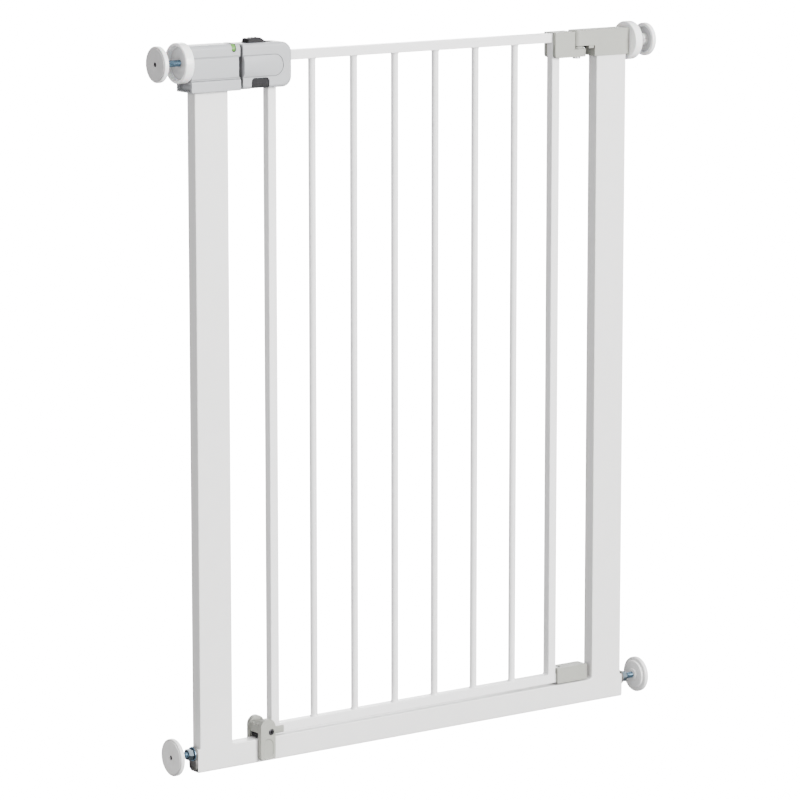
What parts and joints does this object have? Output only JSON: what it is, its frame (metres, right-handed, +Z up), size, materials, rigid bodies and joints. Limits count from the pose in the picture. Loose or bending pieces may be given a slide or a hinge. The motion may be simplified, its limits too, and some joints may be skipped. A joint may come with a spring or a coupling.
{
  "type": "stair gate with latch",
  "caption": "Pressure-fit stair gate: tubular frame, swinging barred door with push latch and lift hinge, screw-out wall pads at the corners.",
  "frame": {"origin": "centre of the bottom rail's underside, on the floor", "axes": "+Z up, +X from the latch side to the hinge side, -Y towards the front of the gate"},
  "size_m": [0.7635, 0.05, 0.91],
  "materials": {
    "frame_enamel": "semi-gloss white powder coat",
    "door_enamel": "semi-gloss white powder coat",
    "silver_plastic": "fine satin silver-grey moulding",
    "grey_plastic": "satin warm grey moulding",
    "charcoal_plastic": "fine textured charcoal moulding",
    "plug_plastic": "dark grey moulding",
    "white_plastic": "glossy white moulding",
    "pad_plastic": "pale grey moulding",
    "pad_rubber": "grey non-slip facing",
    "blue_zinc": "blue-passivated zinc plating",
    "plain_steel": "bright zinc plating",
    "black_screw": "black oxide",
    "spring_steel": "bare spring wire",
    "indicator_green": "green moulding"
  },
  "bodies": {
    "frame": {"bottom_rail": "frame_enamel", "left_post": "frame_enamel", "right_post": "frame_enamel", "rail_plugs": "plug_plastic", "spindle_washers": "blue_zinc", "latch_housing_front": "silver_plastic", "latch_housing_back": "silver_plastic", "post_collar": "silver_plastic", "housing_screws": "plain_steel", "spindle_guide": "charcoal_plastic", "keeper_plate": "plain_steel", "hinge_bracket": "grey_plastic", "bracket_screws": "plain_steel", "bottom_catch": "grey_plastic", "catch_screw": "black_screw"},
    "hinge_pins": {"upper_hinge_pin": "plain_steel", "lower_hinge_pin": "plain_steel"},
    "door": {"door_stile_left": "door_enamel", "door_stile_right": "door_enamel", "door_top_rail": "door_enamel", "door_bottom_rail": "door_enamel", "door_bars": "door_enamel", "handle_front": "silver_plastic", "handle_back": "silver_plastic", "handle_panel": "silver_plastic", "handle_screws": "plain_steel", "hinge_knuckle": "grey_plastic", "lower_shoe": "grey_plastic", "shoe_screw": "plain_steel", "door_end_block": "grey_plastic", "thumb_spring": "spring_steel", "trigger_spring": "spring_steel", "bolt_spring": "spring_steel"},
    "thumb_button": {"thumb_button": "charcoal_plastic"},
    "trigger": {"trigger": "charcoal_plastic"},
    "latch_bolt": {"latch_bolt": "plain_steel"},
    "indicator": {"indicator_flag": "indicator_green"},
    "wheel_upper_left": {"wheel_upper_left": "white_plastic"},
    "wheel_upper_right": {"wheel_upper_right": "white_plastic"},
    "nut_lower_left": {"nut_lower_left": "blue_zinc"},
    "nut_lower_right": {"nut_lower_right": "blue_zinc"},
    "spindle_upper_left": {"spindle_upper_left": "blue_zinc", "pad_upper_left": "white_plastic", "pad_face_upper_left": "pad_rubber"},
    "spindle_upper_right": {"spindle_upper_right": "blue_zinc", "pad_upper_right": "white_plastic", "pad_face_upper_right": "pad_rubber"},
    "spindle_lower_left": {"spindle_lower_left": "blue_zinc", "pad_lower_left": "pad_plastic", "pad_face_lower_left": "pad_rubber"},
    "spindle_lower_right": {"spindle_lower_right": "blue_zinc", "pad_lower_right": "pad_plastic", "pad_face_lower_right": "pad_rubber"}
  },
  "joints": [
    {"name": "door_lift", "type": "slide", "parent": "frame", "child": "hinge_pins", "axis": [0, 0, 1], "range_m": [0, 0.0034]},
    {"name": "door_swing", "type": "hinge", "parent": "hinge_pins", "child": "door", "pos_m": [0.26, 0, 0.45], "axis": [0, 0, 1], "range_deg": [-90, 90]},
    {"name": "thumb_slide", "type": "slide", "parent": "door", "child": "thumb_button", "axis": [1, 0, 0], "range_m": [0, 0.008], "stiffness_N_per_m": 300, "springref_m": -0.004, "deforming": ["thumb_spring"]},
    {"name": "trigger_press", "type": "slide", "parent": "door", "child": "trigger", "axis": [0, 1, 0], "range_m": [0, 0.0045], "stiffness_N_per_m": 500, "springref_m": -0.004, "deforming": ["trigger_spring"]},
    {"name": "bolt_slide", "type": "slide", "parent": "door", "child": "latch_bolt", "axis": [1, 0, 0], "range_m": [0, 0.008], "deforming": ["bolt_spring"]},
    {"name": "indicator_slide", "type": "slide", "parent": "frame", "child": "indicator", "axis": [0, 1, 0], "range_m": [0, 0.006]},
    {"name": "spindle_upper_left_slide", "type": "slide", "parent": "frame", "child": "spindle_upper_left", "axis": [-1, 0, 0], "range_m": [-0.015, 0.02]},
    {"name": "wheel_upper_left_turn", "type": "hinge", "parent": "frame", "child": "wheel_upper_left", "pos_m": [-0.35, 0, 0.884], "axis": [-1, 0, 0], "range_deg": [-4325, 5765]},
    {"name": "spindle_upper_right_slide", "type": "slide", "parent": "frame", "child": "spindle_upper_right", "axis": [1, 0, 0], "range_m": [-0.012, 0.02]},
    {"name": "wheel_upper_right_turn", "type": "hinge", "parent": "frame", "child": "wheel_upper_right", "pos_m": [0.35, 0, 0.8765], "axis": [1, 0, 0], "range_deg": [-3461, 5765]},
    {"name": "spindle_lower_left_slide", "type": "slide", "parent": "frame", "child": "spindle_lower_left", "axis": [-1, 0, 0], "range_m": [-0.01, 0.02]},
    {"name": "nut_lower_left_turn", "type": "hinge", "parent": "frame", "child": "nut_lower_left", "pos_m": [-0.35, 0, 0.0235], "axis": [-1, 0, 0], "range_deg": [-2885, 5765]},
    {"name": "spindle_lower_right_slide", "type": "slide", "parent": "frame", "child": "spindle_lower_right", "axis": [1, 0, 0], "range_m": [-0.01, 0.02]},
    {"name": "nut_lower_right_turn", "type": "hinge", "parent": "frame", "child": "nut_lower_right", "pos_m": [0.35, 0, 0.0235], "axis": [1, 0, 0], "range_deg": [-2885, 5765]}
  ],
  "couplings": [
    {"joint": "bolt_slide", "follows": "trigger_press", "ratio": 1.7777},
    {"joint": "indicator_slide", "follows": "trigger_press", "ratio": 1.3333},
    {"joint": "wheel_upper_left_turn", "follows": "spindle_upper_left_slide", "rad_per_m": 5026.5},
    {"joint": "wheel_upper_right_turn", "follows": "spindle_upper_right_slide", "rad_per_m": 5026.5},
    {"joint": "nut_lower_left_turn", "follows": "spindle_lower_left_slide", "rad_per_m": 5026.5},
    {"joint": "nut_lower_right_turn", "follows": "spindle_lower_right_slide", "rad_per_m": 5026.5}
  ]
}
